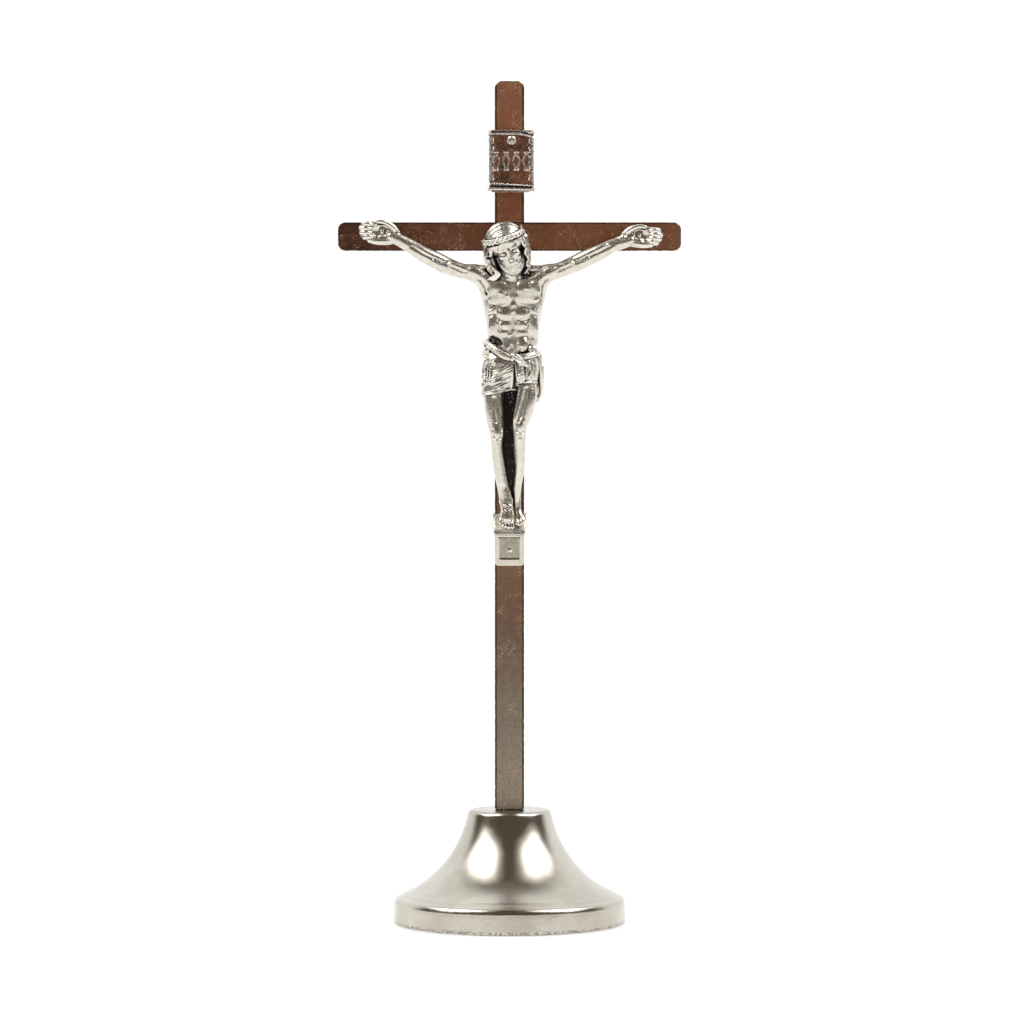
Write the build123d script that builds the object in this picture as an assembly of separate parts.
from build123d import *
from math import atan2, cos, degrees, radians, sin, sqrt
import os

# Standing crucifix on a round flared base: an altar or table cross, all sizes in millimetres.
# Frame: origin at the centre of the base's underside, +Z up, the figure faces -Y.
# Each real piece is one solid in its own STEP file under parts/.

# ---- driving dimensions ----------------------------------------------------------------
overall_height = 160.0
bar_thickness = 3.0  # both bars, along Y
upright_width = 5.6
crossbar_width = 5.4
crossbar_length = 65.0
crossbar_centre_z = 130.6
crossing_rivet_radius = 0.7
bar_corner_radius = 1.4  # rounded free ends, seen from the front
bar_foot_radius = 0.5  # the upright's two lower corners, where it stands on the base
bar_edge_radius = 0.22  # softened long edges

base_radius = 22.0
base_height = 21.8
base_wall = 1.2
flare_radius = 21.2  # concave arc of the trumpet flare, seen from the side
flare_centre = (28.8, 25.07)  # its centre: radius from the axis, height
rim_height = 4.0  # upright band round the foot
shoulder_radius = 1.0  # rounding between the flare and the flat top
rim_lift = 0.2  # the felt stands this much proud of the metal rim
pad_thickness = 1.0

tenon = (3.9, 2.3, 3.8)  # rectangular tongue under the upright: X, Y, Z
tenon_clearance = 0.05
stud_radius = 1.25  # M2.5 stud below the tenon
stud_end_z = 1.5
stud_hole_radius = 1.5
boss_radius = 4.4
boss_foot_z = 12.0
ballast_clearance = 0.25
nut_pocket_radius = 4.2
nut_pocket_top_z = 5.0
washer = (3.0, 0.5)  # outer radius, thickness
lock_washer = (2.45, 0.6)
nut_across_flats = 5.0
nut_height = 2.0

titulus_centre = (0.35, 144.9)  # X, Z
titulus_size = (8.7, 10.6)  # X, Z between the rolled edges
titulus_thickness = 0.75
titulus_roll_radius = 0.62
titulus_tears = ((2.7, 0.30), (0.3, 0.45), (-2.2, 0.30))  # of both sides: Z, depth
lozenge = (0.7, 1.6, 0.2)  # half width, half height, depth
lozenge_pitch = 1.9
titulus_rivet_place = (0.4, 148.8)

footrest_width = 6.0
footrest_top_width = 6.8
footrest_platform = (78.2, 74.9)  # height of its back edge and of its front edge
footrest_panel = (3.9, 4.0, 0.25)  # X, Z, depth
footrest_rivet_z = 71.3
rivet_tail_height = 0.4  # every rivet is peened over this far behind the bars
nail_radius = 0.4
nail_head_radius = 0.55
nail_head_height = 0.45
hand_nails = {"left_hand_nail": (24.6, 130.75), "right_hand_nail": (-24.1, 131.45)}
hand_nail_head_y = -2.9
palm_hollow = (4.3, 1.3)  # a ball that hollows the palm: distance before the middle plane, radius
foot_nail_place = (-0.45, 79.3)
foot_nail_head_y = -6.5

front_y = -bar_thickness / 2
back_y = bar_thickness / 2
far = 40.0  # cutting boxes reach this far past what they cut


# ---- small helpers ---------------------------------------------------------------------
def block(x0, x1, y0, y1, z0, z1):
    """A box between two corners."""
    return Pos((x0 + x1) / 2, (y0 + y1) / 2, (z0 + z1) / 2) * Box(x1 - x0, y1 - y0, z1 - z0)


def post(radius, z0, z1, x=0.0, y=0.0):
    """A vertical cylinder."""
    return Pos(x, y, (z0 + z1) / 2) * Cylinder(radius, z1 - z0)


def pin_along_y(radius, y0, y1, x, z):
    """A cylinder that runs front to back."""
    return Pos(x, (y0 + y1) / 2, z) * Rot(90, 0, 0) * Cylinder(radius, y1 - y0)


def ball(centre, radius):
    return Pos(*centre) * Sphere(radius)


def tapered_limb(points):
    """Cones from point to point with a ball at each; points are (x, y, z, radius)."""
    body = None
    for start, end in zip(points, points[1:]):
        a, b = Vector(*start[:3]), Vector(*end[:3])
        run = b - a
        cone = Plane(origin=a, z_dir=run) * Cone(
            start[3], end[3], run.length, align=(Align.CENTER, Align.CENTER, Align.MIN)
        )
        body = cone if body is None else body + cone
    for x, y, z, radius in points:
        body = body + ball((x, y, z), radius * 1.03)
    return body


def egg(centre, radius, half_length, tilt_x=0.0, tilt_y=0.0):
    """A solid of revolution with an elliptical outline, its long axis along Z before the tilt."""
    outline = [
        EllipticalCenterArc((0, 0), radius, half_length, -90, arc_size=180),
        Line((0, -half_length), (0, half_length)),
    ]
    solid = revolve(Plane.XZ * make_face(outline), Axis.Z)
    return Pos(*centre) * Rot(tilt_x, tilt_y, 0) * solid


def ellipse_loft(sections):
    """A smooth solid through level ellipses; sections are (x, y, z, half width, half depth)."""
    faces = [Pos(x, y, z) * Ellipse(a, b) for x, y, z, a, b in sections]
    return loft(faces)


def rivet(x, z, head_y, head_radius, head_height, tail_y, shank_radius):
    """A pin along Y: domed head in front, shank, and a peened tail behind tail_y."""
    dome = (head_radius**2 + head_height**2) / (2 * head_height)  # sphere through the head's rim
    reach = 2 * head_radius
    cap = Pos(x, head_y - head_height + dome, z) * Sphere(dome)
    cap = cap & block(x - reach, x + reach, head_y - reach, head_y, z - reach, z + reach)
    shank = pin_along_y(shank_radius, head_y, tail_y, x, z)
    return cap + shank + peened_tail(x, z, tail_y, shank_radius)


def peened_tail(x, z, tail_y, shank_radius):
    """The hammered end of a rivet, a low cone that narrows away from the bar."""
    cone = Cone(shank_radius * 1.3, shank_radius * 1.6, rivet_tail_height)
    return Pos(x, tail_y + rivet_tail_height / 2, z) * Rot(90, 0, 0) * cone


# ---- the cross -------------------------------------------------------------------------
def flat_bar(width, length, foot_radius):
    """A flat bar lying in XZ, centred, its corners rounded and its long edges softened."""
    outline = Rectangle(width, length)
    outline = fillet(outline.vertices().group_by(Axis.Y)[-1], bar_corner_radius)
    outline = fillet(outline.vertices().group_by(Axis.Y)[0], foot_radius)
    bar = extrude(Plane.XZ * outline, bar_thickness / 2, both=True)
    rims = bar.edges().filter_by(lambda e: abs(abs(e.center().Y) - bar_thickness / 2) < 1e-6)
    return fillet(rims, bar_edge_radius)


def upright():
    """The vertical bar, halved at the crossing, with a tenon and a stud that pass into the base."""
    length = overall_height - base_height
    bar = flat_bar(upright_width, length, bar_foot_radius)
    bar = Pos(0, 0, overall_height - length / 2) * bar
    half = crossbar_width / 2
    bar = bar - block(-far, far, -far, 0, crossbar_centre_z - half, crossbar_centre_z + half)
    tongue_foot = base_height - tenon[2]
    bar = bar + block(-tenon[0] / 2, tenon[0] / 2, -tenon[1] / 2, tenon[1] / 2, tongue_foot, base_height)
    stud = post(stud_radius, stud_end_z, tongue_foot)
    stud = chamfer(stud.edges().sort_by(Axis.Z)[0], 0.3)
    return bar + stud


def crossbar():
    """The horizontal bar, halved from behind where it crosses the upright."""
    bar = flat_bar(crossbar_width, crossbar_length, bar_corner_radius)
    bar = Pos(0, 0, crossbar_centre_z) * Rot(0, 90, 0) * bar
    half = upright_width / 2
    return bar - block(-half, half, 0, far, crossbar_centre_z - far, crossbar_centre_z + far)


def crossing_rivet():
    """Holds the two halved bars together: countersunk and flush in front, peened behind."""
    sink = 0.6
    head = Pos(0, front_y + sink / 2, crossbar_centre_z) * Rot(90, 0, 0)
    head = head * Cone(crossing_rivet_radius, crossing_rivet_radius + sink, sink)
    shank = pin_along_y(crossing_rivet_radius, front_y + sink, back_y, 0, crossbar_centre_z)
    return head + shank + peened_tail(0, crossbar_centre_z, back_y, crossing_rivet_radius)


# ---- the base --------------------------------------------------------------------------
def flare_point(angle, radius):
    """A point of the flare's arc in (r, z); the angle is the slope away from vertical."""
    return (
        flare_centre[0] - radius * cos(radians(angle)),
        flare_centre[1] - radius * sin(radians(angle)),
    )


def slope_at_height(z, radius):
    """The flare's slope angle at a height."""
    s = (flare_centre[1] - z) / radius
    return degrees(atan2(s, sqrt(1 - s * s)))


def slope_at_radius(r, radius):
    """The flare's slope angle at a distance from the axis."""
    c = (flare_centre[0] - r) / radius
    return degrees(atan2(sqrt(1 - c * c), c))


def flare_arc(start_angle, end_angle, radius):
    middle = flare_point((start_angle + end_angle) / 2, radius)
    return ThreePointArc(flare_point(start_angle, radius), middle, flare_point(end_angle, radius))


def base_shell():
    """The bell: flat top, rounded shoulder, concave flare, rounded edge and upright rim."""
    top_slope = slope_at_height(base_height - shoulder_radius * 0.8, flare_radius)
    edge_slope = slope_at_radius(base_radius - 1.7, flare_radius)
    neck = flare_point(top_slope, flare_radius)
    edge = flare_point(edge_slope, flare_radius)
    shoulder_r = neck[0] - shoulder_radius
    outer = [
        Line((0, rim_lift), (base_radius - 0.3, rim_lift)),
        ThreePointArc(
            (base_radius - 0.3, rim_lift),
            (base_radius - 0.09, rim_lift + 0.09),
            (base_radius, rim_lift + 0.3),
        ),
        Line((base_radius, rim_lift + 0.3), (base_radius, rim_height)),
        ThreePointArc(
            (base_radius, rim_height), (base_radius - 0.42, rim_height + 1.0), edge
        ),
        flare_arc(edge_slope, top_slope, flare_radius),
        ThreePointArc(
            neck,
            (neck[0] - 0.25 * shoulder_radius, base_height - 0.27 * shoulder_radius),
            (shoulder_r, base_height),
        ),
        Line((shoulder_r, base_height), (0, base_height)),
        Line((0, base_height), (0, rim_lift)),
    ]
    bell = revolve(Plane.XZ * make_face(outer), Axis.Z)
    inner_radius = flare_radius + base_wall
    ceiling = base_height - 2.2
    rim_inside = base_radius - base_wall - 0.2
    high = slope_at_height(ceiling, inner_radius)
    low = slope_at_radius(rim_inside, inner_radius)
    hollow_outline = [
        Line((0, rim_lift - 1), (rim_inside, rim_lift - 1)),
        Line((rim_inside, rim_lift - 1), flare_point(low, inner_radius)),
        flare_arc(low, high, inner_radius),
        Line(flare_point(high, inner_radius), (0, ceiling)),
        Line((0, ceiling), (0, rim_lift - 1)),
    ]
    bell = bell - revolve(Plane.XZ * make_face(hollow_outline), Axis.Z)
    bell = bell + post(boss_radius, boss_foot_z, ceiling + 0.5)
    slot_x, slot_y = tenon[0] / 2 + tenon_clearance, tenon[1] / 2 + tenon_clearance
    slot_foot = base_height - tenon[2] - 0.2
    bell = bell - block(-slot_x, slot_x, -slot_y, slot_y, slot_foot, base_height + 1)
    return bell - post(stud_hole_radius, boss_foot_z - 1, slot_foot + 0.5)


def base_ballast():
    """A cast weight that fills the foot of the bell, with a pocket for the nut below."""
    radius = flare_radius + base_wall + ballast_clearance
    outer_r = base_radius - base_wall - 0.2 - ballast_clearance
    low = slope_at_radius(outer_r, radius)
    high = slope_at_height(boss_foot_z, radius)
    top = flare_point(high, radius)
    outline = [
        Line((stud_hole_radius, pad_thickness), (outer_r, pad_thickness)),
        Line((outer_r, pad_thickness), flare_point(low, radius)),
        flare_arc(low, high, radius),
        Line(top, (stud_hole_radius, boss_foot_z)),
        Line((stud_hole_radius, boss_foot_z), (stud_hole_radius, pad_thickness)),
    ]
    weight = revolve(Plane.XZ * make_face(outline), Axis.Z)
    return weight - post(nut_pocket_radius, pad_thickness - 1, nut_pocket_top_z)


def base_pad():
    return post(base_radius - base_wall - 0.35, 0, pad_thickness)


def base_washer():
    top = nut_pocket_top_z
    return post(washer[0], top - washer[1], top) - post(stud_radius + 0.1, top - 2, top + 1)


def base_lock_washer():
    """A split spring washer, pressed flat."""
    top = nut_pocket_top_z - washer[1]
    ring = post(lock_washer[0], top - lock_washer[1], top)
    ring = ring - post(stud_radius + 0.08, top - 3, top + 1)
    split = Rot(0, 0, 20) * block(0, 4, -0.25, 0.25, top - 3, top + 1)
    return ring - split


def base_nut():
    top = nut_pocket_top_z - washer[1] - lock_washer[1]
    hexagon = RegularPolygon(nut_across_flats / 2, 6, major_radius=False)
    nut = Pos(0, 0, top - nut_height) * extrude(hexagon, nut_height)
    bevel = Pos(0, 0, top - nut_height / 2) * Cylinder(nut_across_flats / 2 * 1.1, nut_height)
    nut = nut & chamfer(bevel.edges(), 0.3)
    return nut - post(stud_radius + 0.01, 0, top + 1)


# ---- the inscription plate -------------------------------------------------------------
def titulus():
    """A small parchment-shaped plate with rolled upper and lower edges and torn sides.

    Four plain sunk lozenges stand where such a plate carries its inscription.
    """
    centre_x, centre_z = titulus_centre
    half_x, half_z = titulus_size[0] / 2, titulus_size[1] / 2
    face_y = front_y - titulus_thickness
    plate = block(-half_x, half_x, face_y, front_y, -half_z, half_z)
    for z in (-half_z, half_z):
        roll = Pos(0, front_y - titulus_roll_radius, z) * Rot(0, 90, 0)
        plate = plate + roll * Cylinder(titulus_roll_radius, titulus_size[0])
    for side in (-1, 1):
        for z, depth in titulus_tears:
            notch = Pos(side * (half_x + 1.2 - depth), 0, z) * Rot(90, 0, 0) * Cylinder(1.2, far)
            plate = plate - notch
    half_w, half_h, depth = lozenge
    outline = Polyline((half_w, 0), (0, half_h), (-half_w, 0), (0, -half_h), close=True)
    mark = extrude(Plane.XZ * make_face(outline), depth + 0.1)
    for step in range(4):
        plate = plate - Pos((step - 1.5) * lozenge_pitch, face_y + depth, -0.1) * mark
    return Pos(centre_x, 0, centre_z) * plate


def titulus_rivet():
    """A rivet that holds the plate to the upright, its head cut into three petals."""
    x, z = titulus_rivet_place
    head_y = front_y - titulus_thickness
    pin = rivet(x, z, head_y, 0.95, 0.5, back_y, nail_radius)
    groove = Pos(0.75, 0, 0) * Box(1.5, 0.6, 0.24)
    for angle in (30, 150, 270):
        pin = pin - Pos(x, head_y - 0.5, z) * Rot(0, angle, 0) * groove
    return pin


# ---- the footrest ----------------------------------------------------------------------
def footrest():
    """A wedge under the feet: sloping platform above, framed front plate below."""
    profile = [
        (front_y, 68.3),
        (-3.2, 68.3),
        (-3.9, 69.0),
        (-4.9, 74.2),
        (-5.4, 74.4),
        (-5.4, footrest_platform[1]),
        (-2.3, footrest_platform[0]),
        (front_y, footrest_platform[0]),
    ]
    side = make_face(Polyline(*profile, close=True))
    wedge = extrude(Plane.YZ * side, footrest_top_width / 2, both=True)
    waist_z = 74.3
    for sign in (-1, 1):
        inner, outer = sorted((sign * footrest_width / 2, sign * far))
        wedge = wedge - block(inner, outer, -far, 0, waist_z - far, waist_z)
    corner = wedge.edges().filter_by(Axis.Y).group_by(Axis.Z)[0]
    wedge = fillet(corner, 0.9)
    lean = degrees(atan2(1.0, 5.2))  # of the front plate, its top forward of its foot
    panel = Box(footrest_panel[0], 1.0, footrest_panel[1])
    panel = Pos(0, footrest_panel[2] - 0.5, 0) * panel
    return wedge - Pos(0, -4.4, 71.6) * Rot(lean, 0, 0) * panel


# ---- the figure ------------------------------------------------------------------------
def hand(side, nail):
    """An open palm with curled fingers, flat against the crossbar."""
    x, z = nail
    palm_y = front_y - 0.95
    palm = tapered_limb(
        [
            (x - side * 2.6, palm_y - 0.3, z - 0.7, 1.15),
            (x - side * 0.6, palm_y, z - 0.2, 1.35),
            (x + side * 1.4, palm_y - 0.1, z - 0.1, 1.2),
            (x + side * 3.2, palm_y - 0.5, z - 0.3, 0.75),
        ]
    )
    thumb = tapered_limb(
        [
            (x - side * 1.9, palm_y - 0.3, z + 0.4, 0.7),
            (x - side * 0.2, palm_y - 0.4, z + 1.5, 0.55),
            (x + side * 1.1, palm_y - 0.6, z + 1.7, 0.45),
        ]
    )
    heel = tapered_limb(
        [
            (x - side * 1.2, palm_y, z - 1.4, 0.75),
            (x + side * 0.9, palm_y - 0.1, z - 1.5, 0.85),
            (x + side * 2.4, palm_y - 0.3, z - 1.1, 0.6),
        ]
    )
    hollow = ball((x, -palm_hollow[0], z + 0.1), palm_hollow[1])
    return palm + thumb + heel - hollow


def arm(side, nail):
    """From inside the shoulder to the wrist."""
    x, z = nail
    return tapered_limb(
        [
            (side * 3.6 + 0.5, -4.7, 122.6, 2.1),
            (side * 6.0, -4.8, 123.4, 1.85),
            (side * 10.2, -4.4, 124.4, 1.5),
            (side * 14.3, -4.0, 126.0, 1.65),
            (side * 17.6, -3.6, 128.0, 1.5),
            (x - side * 2.9, -3.0, z - 1.1, 1.1),
        ]
    )


def figure():
    """The cast figure, in one piece: trunk, head with hair, arms, legs and loincloth."""
    trunk = ellipse_loft(
        [
            (0.2, -4.9, 99.5, 4.4, 2.6),
            (0.3, -5.0, 105.5, 5.3, 3.0),
            (0.5, -5.3, 111.3, 4.5, 2.6),
            (0.6, -5.6, 116.5, 5.3, 3.1),
            (0.6, -5.4, 120.8, 5.9, 3.3),
            (0.4, -5.0, 124.4, 3.6, 2.3),
        ]
    )
    cloth = ellipse_loft(
        [
            (0.2, -5.0, 98.8, 5.6, 3.6),
            (0.3, -5.1, 104.0, 5.9, 3.5),
            (0.4, -5.1, 109.2, 5.3, 3.2),
        ]
    )
    neck = tapered_limb([(0.2, -5.0, 123.0, 1.9), (-0.4, -6.4, 127.0, 1.8)])
    head = egg((-0.7, -7.4, 128.6), 3.9, 5.1, tilt_x=24, tilt_y=-14)
    long_lock = [(-3.6, -7.0, 129.0, 1.4), (-4.1, -6.9, 125.2, 1.2), (-3.5, -7.6, 122.6, 0.8)]
    short_lock = [(2.6, -6.6, 129.0, 1.4), (3.3, -6.3, 125.6, 1.1), (3.5, -6.6, 123.8, 0.7)]
    hair = tapered_limb(long_lock) + tapered_limb(short_lock)
    right_leg = tapered_limb(
        [
            (-2.6, -5.2, 101.0, 2.4),
            (-2.9, -6.2, 96.5, 2.05),
            (-2.2, -7.0, 93.0, 1.55),
            (-1.9, -6.4, 89.0, 1.5),
            (-0.9, -5.4, 81.8, 0.95),
            (-0.55, -5.5, 79.6, 1.05),
            (-0.6, -6.2, 77.2, 1.0),
        ],
    )
    left_leg = tapered_limb(
        [
            (2.8, -5.2, 101.0, 2.3),
            (2.6, -6.4, 97.2, 1.9),
            (2.1, -7.2, 93.6, 1.5),
            (1.9, -6.4, 89.0, 1.35),
            (1.4, -4.6, 82.0, 0.85),
            (1.5, -4.4, 79.4, 0.8),
            (1.9, -5.0, 77.6, 0.75),
        ],
    )
    web = block(-2.0, 1.6, -3.0, front_y, 81.0, 99.5)
    body = trunk + cloth + neck + head + hair + right_leg + left_leg + web
    for name, nail in hand_nails.items():
        side = 1 if nail[0] > 0 else -1
        body = body + arm(side, nail) + hand(side, nail)
    body = body - block(-far, far, front_y, far, 60, 140)  # nothing reaches behind the bars' front
    return body


def nail(place, head_y):
    """A domed nail, peened behind the bar it is driven through."""
    return rivet(*place, head_y, nail_head_radius, nail_head_height, back_y, nail_radius)


def footrest_rivet():
    return rivet(0, footrest_rivet_z, -4.05, 0.65, 0.3, back_y, nail_radius)


# ---- assembly --------------------------------------------------------------------------
def build():
    """Every piece in its place; each pin cuts its own hole in the pieces it passes through."""
    pins = {
        "crossing_rivet": crossing_rivet(),
        "titulus_rivet": titulus_rivet(),
        "footrest_rivet": footrest_rivet(),
        "foot_nail": nail(foot_nail_place, foot_nail_head_y),
    }
    for name, place in hand_nails.items():
        pins[name] = nail(place, hand_nail_head_y)
    pinned = {
        "upright": upright(),
        "crossbar": crossbar(),
        "titulus": titulus(),
        "footrest": footrest(),
        "corpus": figure() - footrest(),
    }
    for name in pinned:
        for pin in pins.values():
            pinned[name] = pinned[name] - pin
    base = {
        "base_shell": base_shell(),
        "base_ballast": base_ballast(),
        "base_washer": base_washer(),
        "base_lock_washer": base_lock_washer(),
        "base_nut": base_nut(),
        "base_pad": base_pad(),
    }
    return {**pinned, **pins, **base}


os.makedirs("parts", exist_ok=True)
for node, shape in build().items():
    solids = shape.solids()
    print(node, len(solids), "solid(s)", round(shape.volume, 2), "mm3")
    export_step(solids[0], f"parts/{node}.step")
